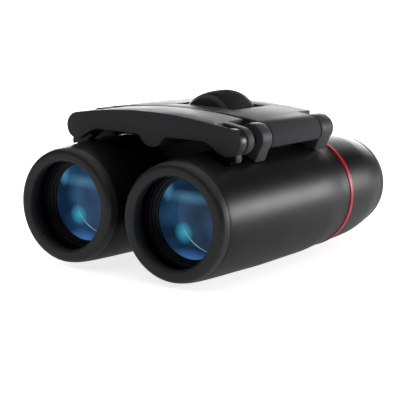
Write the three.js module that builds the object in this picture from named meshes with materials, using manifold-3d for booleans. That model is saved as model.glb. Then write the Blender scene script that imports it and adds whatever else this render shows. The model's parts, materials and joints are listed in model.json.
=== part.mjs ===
// Compact folding binoculars: two barrels that swing on hinge rods under an arched bridge, with a
// focus wheel that drives a front plate and, through it, the lens cells in both barrels.
// Millimetres. +X is to the right seen from the front, +Y runs from the front rims to the eyecups,
// +Z is up. The object lies folded with its barrels on Z = 0, and Y = 0 is the middle of its length.

import * as THREE from 'three';
import { mergeVertices } from 'three/addons/utils/BufferGeometryUtils.js';
import Module from 'manifold-3d';

const wasm = await Module();
wasm.setup();

// ---------- barrels: lengths run along Y, from the front rim ----------
const BARREL_R = 16.26;          // largest radius of a barrel
const BARREL_GAP = 1.48;         // space between the folded barrels
const FRONT_LENGTH = 65.0;       // front rim to the trim ring
const RING_WIDTH = 1.1;          // red trim ring
const SHELL_LENGTH = 21.9;       // rear shell
const EYE_RING_LENGTH = 4.6;     // ring round the eyepiece, a diopter ring on the right
const EYECUP_LENGTH = 3.7;
const TUBE_WALL = 2.26;          // wall of the barrel tube where it is thickest
const SHELL_WALL = 1.7;
const RING_DROP = 0.38;          // how far the trim ring lies inside the largest radius
const RING_DEPTH = 1.0;

// Tapers as [distance, how far the surface lies inside BARREL_R].
const FRONT_TAPER = [[0, 1.5], [0.66, 1.39], [2.46, 1.02], [8.2, 0.65], [20.5, 0.31], [34, 0]];
const REAR_TAPER = [[13, 0], [8, 0.2], [4.3, 0.44], [0, 0.56]];            // ahead of the trim ring
const SHELL_TAPER = [[21.9, 0.58], [16.9, 0.66], [9.6, 0.94], [3.9, 1.7], [0, 2.42]];  // ahead of its end
const EYE_RING_TAPER = [[4.6, 2.48], [2.2, 2.96], [1, 3.8], [0.3, 4.9], [0, 5.7]];     // ahead of its end

// ---------- fits ----------
const GAP = 0.3;                 // between pieces that touch
const SLIDE_GAP = 0.4;           // beside a piece that slides
const TURN_GAP = 0.5;            // round a piece that turns or swings
const PAST = 1;                  // how far a cut runs past the face it breaks through

// ---------- front bezel and objective cell ----------
const BEZEL_LENGTH = 2.6;
const BEZEL_EDGE = 0.35;         // rounded edge of the lip's mouth
const SPIGOT_LENGTH = 2.9;       // thin collar of the bezel inside the barrel tube
const SPIGOT_WALL = 0.5;
const LIP_ROOM = 1.9;            // left between the cell and the lip, with the cell right forward
const BAND_ROOM = 1.5;           // left between the cell's guide band and the spigot then
const CELL_WALL = 1.8;           // guide band, outside the lens
const SHOULDER = 0.7;            // how far the lens rests on the cell and under its ring
const LENS_LIP = 0.5;
const LENS_EDGE = 2.9;
const LENS_FRONT_CURVE = 60;
const LENS_REAR_CURVE = 80;
const RETAINER_LENGTH = 2.2;
const FOCUS_TRAVEL = 2.5;

// ---------- drive arm from the front plate to the cell ----------
const ARM_EYE_WIDTH = 2.7;
const ARM_EYE_R = 3.4;
const ARM_WEB_HALF = 1.6;
const ARM_FOOT_HALF = 2.2;
const ARM_FOOT_LENGTH = 6.4;
const ARM_FOOT_THICK = 1.8;
const ARM_SCREW_SETBACK = 1.6;   // screw to the rear end of the foot
const POCKET_DEPTH = 0.7;        // flat pocket for the foot in the cell's guide band

// ---------- hinges ----------
const FOLD_ANGLE = THREE.MathUtils.degToRad(20);   // lean of the hinge arm when folded
const SIDE_TUBE_R = 4.06;        // round tube along each side of the bridge
const TUBE_CLEARANCE = 0.3;      // between a side tube and the barrel below it
const ROD_R = 1.6;
const LUG_R = 4.1;               // eye of a barrel lug
const LUG_PINCH = 0.35;          // how much narrower a lug is below its eye, on each side
const LUG_FOOT = 5.0;            // half width of a lug on the barrel
const FRONT_LUG_WIDTH = 4.8;
const REAR_LUG_WIDTH = 6.6;
const REAR_LUG_SETBACK = 3.5;    // rear lug to the barrel tube's rear end
const CAP_R = 3.4;
const CAP_LENGTH = 1.2;

// ---------- front plate ----------
const PLATE_Y = 12.55;
const KNUCKLE_R = 3.6;
const KNUCKLE_LEAVE = THREE.MathUtils.degToRad(30); // where the underside leaves a knuckle
const PLATE_FRONT_CHEEK = 1.3;
const PLATE_REAR_CHEEK = 3.05;
const LUG_ROOM = 0.7;            // left between the rear cheek and the lug, with the plate at rest
const PLATE_GAP = 0.5;           // thin gap between the plate and the bridge
const PLATE_UNDER = -0.32;       // underside, from the hinge height
const LOBE_R = 4.0;
const LOBE_FOOT = 5.2;           // half width of the lobe where it meets the underside
const LOBE_LEAVE = THREE.MathUtils.degToRad(35);    // where its round leaves into the underside

// ---------- bridge ----------
const DECK_RISE = 5.8;           // top of the arch above the hinges
const BRIDGE_UNDER = -2.27;      // underside, from the hinge height
const DECK_THICK = 2.2;
const END_WALL = 2.0;
const COVER_THICK = 1.1;
const COVER_MARGIN = 4.2;        // side wall between the cover and a side tube
const DECK_REAR_OVERLAP = 6.2;   // how far the deck runs past the front of the rear lugs
const REAR_WING_INSET = 3.3;     // edge of the deck over the rear lugs, inwards from the hinge
const REAR_WING_UNDER = 1.0;     // underside of the deck there, above the hinges
const SLOT_MARGIN = 0.6;         // round the focus wheel

// ---------- focus drive ----------
const DRIVE_X = 1.2;             // the drive sits a little to the right of the middle
const DRIVE_RISE = 0.73;         // shaft height above the hinges
const SHAFT_R = 1.5;
const NUT_R = 2.9;
const NUT_LENGTH = 7.6;
const WHEEL_NOSE = 3.8;          // plain bevelled front of the wheel
const WHEEL_BEVEL = 1.2;
const GRIP_LENGTH = 11.4;
const GRIP_DEPTH = 1.2;
const GRIP_RIBS = 40;
const RIB_DEPTH = 0.35;

// ---------- eyepiece and prisms ----------
const OCULAR_INSET = 7.96;       // outside of the eyepiece tube to the largest radius of the barrel
const OCULAR_WALL = 0.8;
const EYECUP_WALL = 1.6;
const OCULAR_FRONT = 1.8;        // front of the eyepiece tube behind the prism holder
const OCULAR_LENS_EDGE = 2.0;
const OCULAR_CURVE = 22;
const FIELD_LENS_SETBACK = 2.4;
const EYE_LENS_SETBACK = 3.2;
const HOLDER_LENGTH = 26;
const HOLDER_WALL = 1.0;         // where the prism channel's corners come nearest to the outside
const HOLDER_OVERLAP = 3.2;      // how far the holder reaches into the rear shell
const PRISM_SETBACK = 2;
const PRISM_NECK = 3;
const PRISM_TILT = THREE.MathUtils.degToRad(22.5);
const STOP_INSET = 1.8;          // opening of the field stop, inwards from the eyepiece tube's outside
const STOP_THICK = 1.0;

// ---------- screws ----------
const SCREW_R = 0.8;
const SCREW_HEAD_R = 1.5;
const SCREW_HEAD = 0.8;
const COVER_SCREW_HEAD = 0.5;
const COVER_SCREW_DEPTH = 3.4;
const LUG_SCREW_X = 2.0;
const LUG_SCREW_BITE = 2.0;      // how far a lug screw reaches into its lug
const ARM_SCREW_R = 0.7;
const ARM_SCREW_HEAD_R = 1.3;

// ---------- facets ----------
const ROUND = 36;                // facets round a barrel
const FINE = 24;                 // facets round a part inside it
const SMALL = 12;                // facets round a pin, eye or bush
const TINY = 8;                  // facets round a screw
const ARC_STEPS = 8;             // steps along each arc of an extruded outline

// ---------- across the barrels, worked out from the sizes above ----------
const HALF_SPACING = BARREL_R + BARREL_GAP / 2;
const ARM = BARREL_R + TUBE_CLEARANCE + SIDE_TUBE_R;          // barrel axis to hinge axis
const HINGE_X = HALF_SPACING + ARM * Math.sin(FOLD_ANGLE);
const HINGE_Z = ARM * Math.cos(FOLD_ANGLE);
const DECK_TOP = HINGE_Z + DECK_RISE;
const UNDERSIDE = HINGE_Z + BRIDGE_UNDER;
const DRIVE_Z = HINGE_Z + DRIVE_RISE;
const WHEEL_R = Math.hypot(HALF_SPACING - DRIVE_X, DRIVE_Z) - BARREL_R - TURN_GAP;
const SLOT_HALF = WHEEL_R + SLOT_MARGIN;
const COVER_HALF = HINGE_X - SIDE_TUBE_R - COVER_MARGIN;
const COVER_SCREW_X = COVER_HALF - SCREW_HEAD_R - 3 * GAP;
const CAVITY_HALF = COVER_HALF - 3 * SCREW_HEAD_R;
const LUG_WAIST = LUG_R - LUG_PINCH;

// ---------- round each barrel's axis ----------
const TUBE_BORE_R = BARREL_R - TUBE_WALL;
const SPIGOT_R = TUBE_BORE_R - GAP;
const CELL_R = TUBE_BORE_R - SLIDE_GAP;
const CELL_NOSE_R = SPIGOT_R - SPIGOT_WALL - GAP;
const RETAINER_R = CELL_NOSE_R - TURN_GAP;
const LENS_R = CELL_R - CELL_WALL - GAP;
const LENS_CLEAR_R = LENS_R - LENS_LIP;
const LIP_R = LENS_R + GAP / 3;
const POCKET_FLOOR = CELL_R - POCKET_DEPTH;
const ARM_FOOT_Z = POCKET_FLOOR + GAP;
const HOLDER_R = TUBE_BORE_R - TURN_GAP;
const PRISM_HALF = (HOLDER_R - HOLDER_WALL) / Math.SQRT2 - GAP;
const OCULAR_R = BARREL_R - OCULAR_INSET;
const EYECUP_R = OCULAR_R + GAP + EYECUP_WALL;

// ---------- along the barrels, from the front rim ----------
const TUBE_Y = BEZEL_LENGTH + GAP;
const TUBE_END = FRONT_LENGTH - GAP;
const SHELL_Y = FRONT_LENGTH + RING_WIDTH + GAP;
const SHELL_END = SHELL_Y + SHELL_LENGTH;
const EYE_RING_Y = SHELL_END + GAP;
const EYE_RING_END = EYE_RING_Y + EYE_RING_LENGTH;
const EYECUP_Y = EYE_RING_END + GAP;
const LENGTH = EYECUP_Y + EYECUP_LENGTH;

const EYE_SLOT_Y = PLATE_Y + PLATE_FRONT_CHEEK;
const ARM_Y = EYE_SLOT_Y + GAP;
const ARM_EYE_END = ARM_Y + ARM_EYE_WIDTH;
const ARM_FOOT_END = ARM_Y + ARM_FOOT_LENGTH;
const ARM_SCREW_Y = ARM_FOOT_END - ARM_SCREW_SETBACK;
const REAR_CHEEK_Y = ARM_EYE_END + GAP;
const SHAFT_Y = REAR_CHEEK_Y + GAP;
const NOTCH_Y = REAR_CHEEK_Y + PLATE_REAR_CHEEK;
const FRONT_LUG_Y = NOTCH_Y + FOCUS_TRAVEL + LUG_ROOM;
const BRIDGE_Y = FRONT_LUG_Y + FRONT_LUG_WIDTH + GAP;
const PLATE_END = BRIDGE_Y - PLATE_GAP;
const REAR_LUG_END = TUBE_END - REAR_LUG_SETBACK;
const REAR_LUG_Y = REAR_LUG_END - REAR_LUG_WIDTH;
const SIDE_TUBE_END = REAR_LUG_Y - TURN_GAP;
const DECK_END = REAR_LUG_Y + DECK_REAR_OVERLAP;
const WHEEL_Y = (BRIDGE_Y + DECK_END - WHEEL_NOSE - GRIP_LENGTH) / 2;
const GRIP_Y = WHEEL_Y + WHEEL_NOSE;
const WHEEL_END = GRIP_Y + GRIP_LENGTH;
const CAVITY_Y = BRIDGE_Y + END_WALL;
const CAVITY_END = DECK_END - END_WALL;
const SHAFT_END = CAVITY_END + END_WALL / 2;
const LUG_SCREW_YS = [FRONT_LUG_Y + FRONT_LUG_WIDTH / 2, REAR_LUG_Y + REAR_LUG_WIDTH / 2];

const CELL_Y = BEZEL_LENGTH + FOCUS_TRAVEL + LIP_ROOM;
const CELL_BAND_Y = BEZEL_LENGTH + SPIGOT_LENGTH + FOCUS_TRAVEL + BAND_ROOM;
const CELL_END = ARM_FOOT_END + SLIDE_GAP;
const RETAINER_Y = CELL_Y + GAP / 3;
const LENS_Y = RETAINER_Y + RETAINER_LENGTH + SLIDE_GAP;
const HOLDER_END = SHELL_Y + HOLDER_OVERLAP;
const HOLDER_Y = HOLDER_END - HOLDER_LENGTH;
const PRISM_Y = HOLDER_Y + PRISM_SETBACK;
const PRISM_SLANT = 2 * PRISM_HALF * Math.tan(PRISM_TILT);
const OCULAR_Y = HOLDER_END + OCULAR_FRONT;

// ---------- materials ----------
const finish = (color, roughness, metalness) =>
  new THREE.MeshStandardMaterial({ color, roughness, metalness });
const SATIN_BLACK = finish('#141416', 0.38, 0.0);
const MOULDED_BLACK = finish('#1c1c1e', 0.55, 0.0);
const RUBBER = finish('#161617', 0.8, 0.0);
const RED = finish('#c8102e', 0.35, 0.0);
const BLACK_METAL = finish('#2a2a2c', 0.45, 0.7);
const STEEL = finish('#b8babd', 0.3, 1.0);
const BRASS = finish('#c2a25a', 0.35, 1.0);
const COATED_GLASS = finish('#2f5f8f', 0.05, 0.0);
const CLEAR_GLASS = finish('#c8d8dc', 0.05, 0.0);

// ---------- solids ----------
function signedVolume(position, index) {
  const [a, b, c] = [new THREE.Vector3(), new THREE.Vector3(), new THREE.Vector3()];
  let volume = 0;
  for (let i = 0; i < index.length; i += 3) {
    a.fromBufferAttribute(position, index[i]);
    b.fromBufferAttribute(position, index[i + 1]);
    c.fromBufferAttribute(position, index[i + 2]);
    volume += a.dot(b.cross(c)) / 6;
  }
  return volume;
}

// A closed geometry as a solid: shared corners merged, empty triangles left out, faces outwards.
function solid(geometry) {
  geometry.deleteAttribute('normal');
  geometry.deleteAttribute('uv');
  const merged = mergeVertices(geometry);
  const corners = [];
  const index = merged.index.array;
  for (let i = 0; i < index.length; i += 3) {
    const [a, b, c] = [index[i], index[i + 1], index[i + 2]];
    if (a !== b && b !== c && c !== a) corners.push(a, b, c);
  }
  if (signedVolume(merged.attributes.position, corners) < 0) corners.reverse();
  return new wasm.Manifold(new wasm.Mesh({
    numProp: 3,
    vertProperties: merged.attributes.position.array,
    triVerts: Uint32Array.from(corners),
  }));
}

// A profile of [y, radius] points that starts and ends on the Y axis, spun round that axis.
function turned(profile, facets) {
  return solid(new THREE.LatheGeometry(profile.map(([y, r]) => new THREE.Vector2(r, y)), facets));
}

// A profile of [y, radius] points that stays off the axis, closed on itself and spun round it.
function ring(profile, facets) {
  return turned([...profile, profile[0]], facets);
}

function sleeve(y0, y1, outer, inner, facets) {
  return ring([[y0, outer], [y1, outer], [y1, inner], [y0, inner]], facets);
}

function rod(y0, y1, radius, facets, x = 0, z = 0) {
  const geometry = new THREE.CylinderGeometry(radius, radius, y1 - y0, facets);
  return solid(geometry.translate(x, (y0 + y1) / 2, z));
}

function upright(z0, z1, radius, x, y) {
  const geometry = new THREE.CylinderGeometry(radius, radius, z1 - z0, TINY).rotateX(Math.PI / 2);
  return solid(geometry.translate(x, y, (z0 + z1) / 2));
}

function block([x0, x1], [y0, y1], [z0, z1]) {
  const geometry = new THREE.BoxGeometry(x1 - x0, y1 - y0, z1 - z0);
  return solid(geometry.translate((x0 + x1) / 2, (y0 + y1) / 2, (z0 + z1) / 2));
}

// An outline in the XZ plane, extruded along Y.
function slab(outline, y0, y1, curveSegments) {
  const options = { depth: y1 - y0, bevelEnabled: false, curveSegments };
  const geometry = new THREE.ExtrudeGeometry(outline, options).rotateX(Math.PI / 2);
  return solid(geometry.translate(0, y1, 0));
}

// An outline in the YZ plane, extruded along X, as far to the left as to the right.
function sideSlab(points, half) {
  const outline = new THREE.Shape(points.map(([y, z]) => new THREE.Vector2(y, z)));
  const geometry = new THREE.ExtrudeGeometry(outline, { depth: 2 * half, bevelEnabled: false });
  const turn = new THREE.Matrix4().makeBasis(
    new THREE.Vector3(0, 1, 0), new THREE.Vector3(0, 0, 1), new THREE.Vector3(1, 0, 0));
  return solid(geometry.applyMatrix4(turn).translate(-half, 0, 0));
}

// What is left of a body when each of the other solids is cut out of it.
function cut(body, ...tools) {
  return tools.reduce((rest, tool) => rest.subtract(tool), body);
}

function add(parent, name, shape, material) {
  const { vertProperties, triVerts } = shape.getMesh();
  const geometry = new THREE.BufferGeometry();
  geometry.setAttribute('position', new THREE.BufferAttribute(vertProperties, 3));
  geometry.setIndex(new THREE.BufferAttribute(triVerts, 1));
  geometry.computeVertexNormals();
  const mesh = new THREE.Mesh(geometry, material);
  mesh.name = name;
  parent.add(mesh);
}

// ---------- barrel outline ----------
const tapered = (taper, place) => taper.map(([distance, drop]) => [place(distance), BARREL_R - drop]);
const TUBE_OUTLINE = [
  ...tapered(FRONT_TAPER, (distance) => distance),
  ...tapered(REAR_TAPER, (distance) => FRONT_LENGTH - distance),
];
const SHELL_OUTLINE = tapered(SHELL_TAPER, (distance) => SHELL_END - distance);
const EYE_RING_OUTLINE = tapered(EYE_RING_TAPER, (distance) => EYE_RING_END - distance);

function radiusAt(outline, y) {
  const after = Math.max(1, outline.findIndex(([station]) => station >= y));
  const [[y0, r0], [y1, r1]] = [outline[after - 1], outline[after]];
  return r0 + (r1 - r0) * (y - y0) / (y1 - y0);
}

function stretch(outline, y0, y1) {
  const inside = outline.filter(([y]) => y > y0 && y < y1);
  return [[y0, radiusAt(outline, y0)], ...inside, [y1, radiusAt(outline, y1)]];
}

// ---------- casings of one barrel, in its own frame: the hinge lies straight above the axis ----------
function bezel() {
  const end = BEZEL_LENGTH + SPIGOT_LENGTH;
  const inner = SPIGOT_R - SPIGOT_WALL;
  return ring([
    ...stretch(TUBE_OUTLINE, 0, BEZEL_LENGTH),
    [BEZEL_LENGTH, SPIGOT_R], [end, SPIGOT_R], [end, inner], [BEZEL_LENGTH, inner],
    [BEZEL_LENGTH, LIP_R], [BEZEL_EDGE, LIP_R], [0, LIP_R + BEZEL_EDGE],
  ], ROUND);
}

function barrelTube() {
  const outer = stretch(TUBE_OUTLINE, TUBE_Y, TUBE_END);
  const slotHalf = ARM_FOOT_HALF + SLIDE_GAP;
  const slotY = [ARM_Y - FOCUS_TRAVEL - SLIDE_GAP, ARM_FOOT_END + SLIDE_GAP];
  const slot = block([-slotHalf, slotHalf], slotY, [0, ARM]);
  const screwHoles = LUG_SCREW_YS.map((y) => upright(0, ARM, SCREW_R + GAP, LUG_SCREW_X, y));
  return cut(ring([...outer, [TUBE_END, TUBE_BORE_R], [TUBE_Y, TUBE_BORE_R]], ROUND), slot, ...screwHoles);
}

function trimRing() {
  const outer = BARREL_R - RING_DROP;
  return sleeve(FRONT_LENGTH, FRONT_LENGTH + RING_WIDTH, outer, outer - RING_DEPTH, ROUND);
}

function rearShell() {
  const outer = stretch(SHELL_OUTLINE, SHELL_Y, SHELL_END);
  const floor = SHELL_END - SHELL_WALL;
  const hollow = stretch(SHELL_OUTLINE, HOLDER_END + 3 * GAP, floor);
  const inner = hollow.map(([y, r]) => [y, r - SHELL_WALL]).reverse();
  const seat = HOLDER_R + SLIDE_GAP;
  const mouth = OCULAR_R + GAP;
  return ring([
    ...outer, [SHELL_END, mouth], [floor, mouth], ...inner, [HOLDER_END + GAP, seat], [SHELL_Y, seat],
  ], ROUND);
}

function eyeRing() {
  const outer = stretch(EYE_RING_OUTLINE, EYE_RING_Y, EYE_RING_END);
  const mouth = OCULAR_R + GAP;
  return ring([...outer, [EYE_RING_END, mouth], [EYE_RING_Y, mouth]], ROUND);
}

function eyecup() {
  const inner = EYECUP_R - EYECUP_WALL;
  const edge = EYECUP_WALL / 4;
  return ring([
    [EYECUP_Y, EYECUP_R], [LENGTH - edge, EYECUP_R], [LENGTH, EYECUP_R - edge],
    [LENGTH, inner + edge], [LENGTH - edge, inner], [EYECUP_Y, inner],
  ], FINE);
}

// ---------- objective cell and its drive arm ----------
// A lens with its edge from y0 to y1; its two faces bulge outwards with the given radii.
function lens(y0, y1, radius, frontCurve, rearCurve) {
  const arc = (curve) => {
    const half = Math.asin(radius / curve);
    return [0, half / 2, half].map((angle) =>
      [curve * (Math.cos(angle) - Math.cos(half)), curve * Math.sin(angle)]);
  };
  const front = arc(frontCurve).map(([bulge, r]) => [y0 - bulge, r]);
  const rear = arc(rearCurve).map(([bulge, r]) => [y1 + bulge, r]).reverse();
  return turned([...front, ...rear], FINE);
}

function objectiveCell() {
  const seatY = LENS_Y - GAP;
  const seatR = LENS_R + GAP;
  const shoulderY = LENS_Y + LENS_EDGE + 2 * GAP;
  const shoulderR = LENS_R - SHOULDER;
  const threadR = RETAINER_R + GAP / 2;
  const cell = ring([
    [CELL_Y, CELL_NOSE_R], [CELL_BAND_Y, CELL_NOSE_R], [CELL_BAND_Y, CELL_R], [CELL_END, CELL_R],
    [CELL_END, shoulderR], [shoulderY, shoulderR], [shoulderY, seatR], [seatY, seatR],
    [seatY, threadR], [CELL_Y, threadR],
  ], FINE);
  const half = ARM_FOOT_HALF + GAP;
  const pocket = block([-half, half], [ARM_Y - GAP, CELL_END + PAST], [POCKET_FLOOR, ARM]);
  return cut(cell, pocket, upright(0, ARM, ARM_SCREW_R + GAP, 0, ARM_SCREW_Y));
}

function retainingRing() {
  const end = RETAINER_Y + RETAINER_LENGTH;
  const flare = RETAINER_LENGTH / 2;
  return ring([
    [RETAINER_Y, RETAINER_R], [end, RETAINER_R], [end, LENS_CLEAR_R], [end - flare, LENS_CLEAR_R],
    [RETAINER_Y, (LENS_CLEAR_R + RETAINER_R) / 2],
  ], FINE);
}

function driveArm() {
  const footZ = [ARM_FOOT_Z, ARM_FOOT_Z + ARM_FOOT_THICK];
  const foot = block([-ARM_FOOT_HALF, ARM_FOOT_HALF], [ARM_Y, ARM_FOOT_END], footZ);
  const web = block([-ARM_WEB_HALF, ARM_WEB_HALF], [ARM_Y, ARM_EYE_END], [ARM_FOOT_Z + GAP, ARM]);
  const eye = rod(ARM_Y, ARM_EYE_END, ARM_EYE_R, SMALL, 0, ARM);
  const hole = rod(ARM_Y - PAST, ARM_EYE_END + PAST, ROD_R + GAP, SMALL, 0, ARM);
  return cut(foot.add(web).add(eye), hole, upright(0, ARM, ARM_SCREW_R + GAP, 0, ARM_SCREW_Y));
}

function driveArmScrew() {
  const top = ARM_FOOT_Z + ARM_FOOT_THICK + GAP;
  const shank = upright(LENS_R - SHOULDER + GAP, top + GAP, ARM_SCREW_R, 0, ARM_SCREW_Y);
  return shank.add(upright(top, top + SCREW_HEAD, ARM_SCREW_HEAD_R, 0, ARM_SCREW_Y));
}

// ---------- lugs ----------
// A lug: an eye round the hinge rod on a foot that follows the barrel.
function lug(y0, width) {
  const outline = new THREE.Shape();
  const waist = Math.asin(LUG_WAIST / LUG_R);
  const footZ = BARREL_R * Math.cos(LUG_FOOT / BARREL_R) + GAP;
  outline.moveTo(-LUG_FOOT, footZ);
  outline.lineTo(-LUG_FOOT, 0);
  outline.lineTo(LUG_FOOT, 0);
  outline.lineTo(LUG_FOOT, footZ);
  outline.absarc(0, ARM, LUG_R, waist - Math.PI / 2, 3 * Math.PI / 2 - waist, false);
  outline.closePath();
  const [low, high] = [y0 - PAST, y0 + width + PAST];
  const seat = Math.max(radiusAt(TUBE_OUTLINE, y0), radiusAt(TUBE_OUTLINE, y0 + width)) + GAP;
  const screwTop = BARREL_R + LUG_SCREW_BITE + GAP;
  return cut(
    slab(outline, y0, y0 + width, ARC_STEPS),
    rod(low, high, seat, ROUND),
    rod(low, high, ROD_R + GAP, SMALL, 0, ARM),
    upright(0, screwTop, SCREW_R + GAP, LUG_SCREW_X, y0 + width / 2));
}

function lugScrew(y) {
  const inside = Math.sqrt(TUBE_BORE_R ** 2 - (LUG_SCREW_X + SCREW_HEAD_R) ** 2) - GAP;
  const shank = upright(inside - GAP, BARREL_R + LUG_SCREW_BITE, SCREW_R, LUG_SCREW_X, y);
  return shank.add(upright(inside - SCREW_HEAD, inside, SCREW_HEAD_R, LUG_SCREW_X, y));
}

// ---------- prisms and eyepiece ----------
function prismHolder() {
  const room = PRISM_HALF + GAP;
  const [low, high] = [HOLDER_Y - PAST, HOLDER_END + PAST];
  const channel = block([-room, room], [low, high], [-room, room]);
  const screwRoom = upright(0, ARM, 2 * SCREW_HEAD_R, LUG_SCREW_X, LUG_SCREW_YS[1]);
  return cut(rod(HOLDER_Y, HOLDER_END, HOLDER_R, FINE), channel, screwRoom);
}

function halfPentaPrism() {
  const neck = PRISM_Y + PRISM_NECK;
  return sideSlab([
    [PRISM_Y, -PRISM_HALF], [neck + PRISM_SLANT, -PRISM_HALF], [neck, PRISM_HALF], [PRISM_Y, PRISM_HALF],
  ], PRISM_HALF);
}

function roofPrism() {
  const top = PRISM_Y + PRISM_NECK + 2 * GAP;
  return sideSlab([
    [top, PRISM_HALF], [top + PRISM_SLANT, GAP - PRISM_HALF], [top + 2 * PRISM_SLANT, PRISM_HALF],
  ], PRISM_HALF);
}

function fieldStop() {
  const y0 = HOLDER_END + GAP;
  return sleeve(y0, y0 + STOP_THICK, HOLDER_R - SHELL_WALL, OCULAR_R - STOP_INSET, FINE);
}

function ocularTube() {
  return sleeve(OCULAR_Y, EYE_RING_END, OCULAR_R, OCULAR_R - OCULAR_WALL, FINE);
}

function ocularLens(y) {
  return lens(y, y + OCULAR_LENS_EDGE, OCULAR_R - OCULAR_WALL - GAP, OCULAR_CURVE, OCULAR_CURVE);
}

function barrelPieces() {
  const eyeLensY = EYE_RING_END - EYE_LENS_SETBACK - OCULAR_LENS_EDGE;
  return [
    ['barrel_tube', barrelTube(), SATIN_BLACK],
    ['front_bezel', bezel(), SATIN_BLACK],
    ['trim_ring', trimRing(), RED],
    ['rear_shell', rearShell(), SATIN_BLACK],
    ['front_lug', lug(FRONT_LUG_Y, FRONT_LUG_WIDTH), MOULDED_BLACK],
    ['rear_lug', lug(REAR_LUG_Y, REAR_LUG_WIDTH), MOULDED_BLACK],
    ['front_lug_screw', lugScrew(LUG_SCREW_YS[0]), STEEL],
    ['rear_lug_screw', lugScrew(LUG_SCREW_YS[1]), STEEL],
    ['prism_holder', prismHolder(), MOULDED_BLACK],
    ['half_penta_prism', halfPentaPrism(), CLEAR_GLASS],
    ['roof_prism', roofPrism(), CLEAR_GLASS],
    ['field_stop', fieldStop(), BLACK_METAL],
    ['ocular_tube', ocularTube(), BLACK_METAL],
    ['field_lens', ocularLens(OCULAR_Y + FIELD_LENS_SETBACK), CLEAR_GLASS],
    ['eye_lens', ocularLens(eyeLensY), COATED_GLASS],
    ['eyecup', eyecup(), RUBBER],
    ['objective_cell', objectiveCell(), BLACK_METAL],
    ['objective_lens', lens(LENS_Y, LENS_Y + LENS_EDGE, LENS_R, LENS_FRONT_CURVE, LENS_REAR_CURVE),
      COATED_GLASS],
    ['retaining_ring', retainingRing(), BLACK_METAL],
    ['drive_arm', driveArm(), BLACK_METAL],
    ['drive_arm_screw', driveArmScrew(), STEEL],
  ];
}

function barrel(parent, name, side, eyeRingName) {
  const group = new THREE.Group();
  group.position.set(side * HALF_SPACING, 0, 0);
  group.rotation.y = side * FOLD_ANGLE;
  parent.add(group);
  for (const [piece, shape, material] of barrelPieces()) add(group, `${name}_${piece}`, shape, material);
  add(group, `${name}_${eyeRingName}`, eyeRing(), MOULDED_BLACK);
}

// ---------- bridge and front plate ----------
// The arched top with a round end at each side, drawn from the right end's underside over the top
// to the left end's. Each end leaves into the underside the angle leave past its lowest point.
function archedTop(outline, endRadius, leave) {
  const radius = (HINGE_X ** 2 + DECK_RISE ** 2 - endRadius ** 2) / (2 * (DECK_RISE - endRadius));
  const centre = DECK_TOP - radius;
  const half = Math.atan2(HINGE_X, HINGE_Z - centre);
  const up = Math.PI / 2;
  outline.absarc(HINGE_X, HINGE_Z, endRadius, -up - leave, up - half, false);
  outline.absarc(0, centre, radius, up - half, up + half, false);
  outline.absarc(-HINGE_X, HINGE_Z, endRadius, up + half, 3 * up + leave, false);
}

function plateOutline() {
  const outline = new THREE.Shape();
  const under = HINGE_Z + PLATE_UNDER;
  const bend = HINGE_X - 2 * KNUCKLE_R;            // where the flat underside starts to drop
  const knuckleX = HINGE_X - KNUCKLE_R * Math.sin(KNUCKLE_LEAVE);
  const knuckleZ = HINGE_Z - KNUCKLE_R * Math.cos(KNUCKLE_LEAVE);
  const lobeX = LOBE_R * Math.cos(LOBE_LEAVE);
  const lobeZ = DRIVE_Z - LOBE_R * Math.sin(LOBE_LEAVE);
  archedTop(outline, KNUCKLE_R, KNUCKLE_LEAVE);
  outline.quadraticCurveTo(-bend - KNUCKLE_R / 3, under, -bend, under);
  outline.lineTo(DRIVE_X - LOBE_FOOT, under);
  outline.quadraticCurveTo(DRIVE_X - LOBE_R, under, DRIVE_X - lobeX, lobeZ);
  outline.absarc(DRIVE_X, DRIVE_Z, LOBE_R, Math.PI + LOBE_LEAVE, 2 * Math.PI - LOBE_LEAVE, false);
  outline.quadraticCurveTo(DRIVE_X + LOBE_R, under, DRIVE_X + LOBE_FOOT, under);
  outline.lineTo(bend, under);
  outline.quadraticCurveTo(bend + KNUCKLE_R / 3, under, knuckleX, knuckleZ);
  return outline;
}

function bothSides(make) {
  return make(1).add(make(-1));
}

// A block at each side that starts inner away from the middle and runs out past the hinge.
function sideBlocks(inner, yRange, zRange) {
  return bothSides((side) => {
    const edges = [side * inner, side * 2 * HINGE_X].sort((a, b) => a - b);
    return block(edges, yRange, zRange);
  });
}

function hingeBores(y0, y1, radius) {
  return bothSides((side) => rod(y0, y1, radius, SMALL, side * HINGE_X, HINGE_Z));
}

function driveBore(y0, y1, radius) {
  return rod(y0, y1, radius, SMALL, DRIVE_X, DRIVE_Z);
}

function frontPlate() {
  const high = DECK_TOP + PAST;
  const under = HINGE_Z + PLATE_UNDER;
  const eyeInner = HINGE_X - ARM_EYE_R - TURN_GAP;
  const lugInner = HINGE_X - LUG_R - TURN_GAP;
  const footInner = lugInner - LUG_FOOT / 2;
  const behind = [NOTCH_Y, PLATE_END + PAST];
  return cut(
    slab(plateOutline(), PLATE_Y, PLATE_END, ARC_STEPS),
    sideBlocks(eyeInner, [EYE_SLOT_Y, REAR_CHEEK_Y], [0, high]),
    sideBlocks(lugInner, behind, [0, high]),
    sideBlocks(footInner, behind, [0, under]),
    hingeBores(EYE_SLOT_Y, PLATE_END, ROD_R + GAP),
    driveBore(PLATE_END - NUT_LENGTH - GAP, PLATE_END + PAST, NUT_R + GAP),
    driveBore(SHAFT_Y - GAP, PLATE_END, SHAFT_R + GAP));
}

function focusNut() {
  const y0 = PLATE_END - NUT_LENGTH;
  return cut(driveBore(y0, PLATE_END - GAP, NUT_R), driveBore(y0 - PAST, PLATE_END, SHAFT_R + GAP));
}

function bridgeOutline() {
  const outline = new THREE.Shape();
  archedTop(outline, SIDE_TUBE_R, Math.acos(-BRIDGE_UNDER / SIDE_TUBE_R));
  outline.closePath();
  return outline;
}

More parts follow.
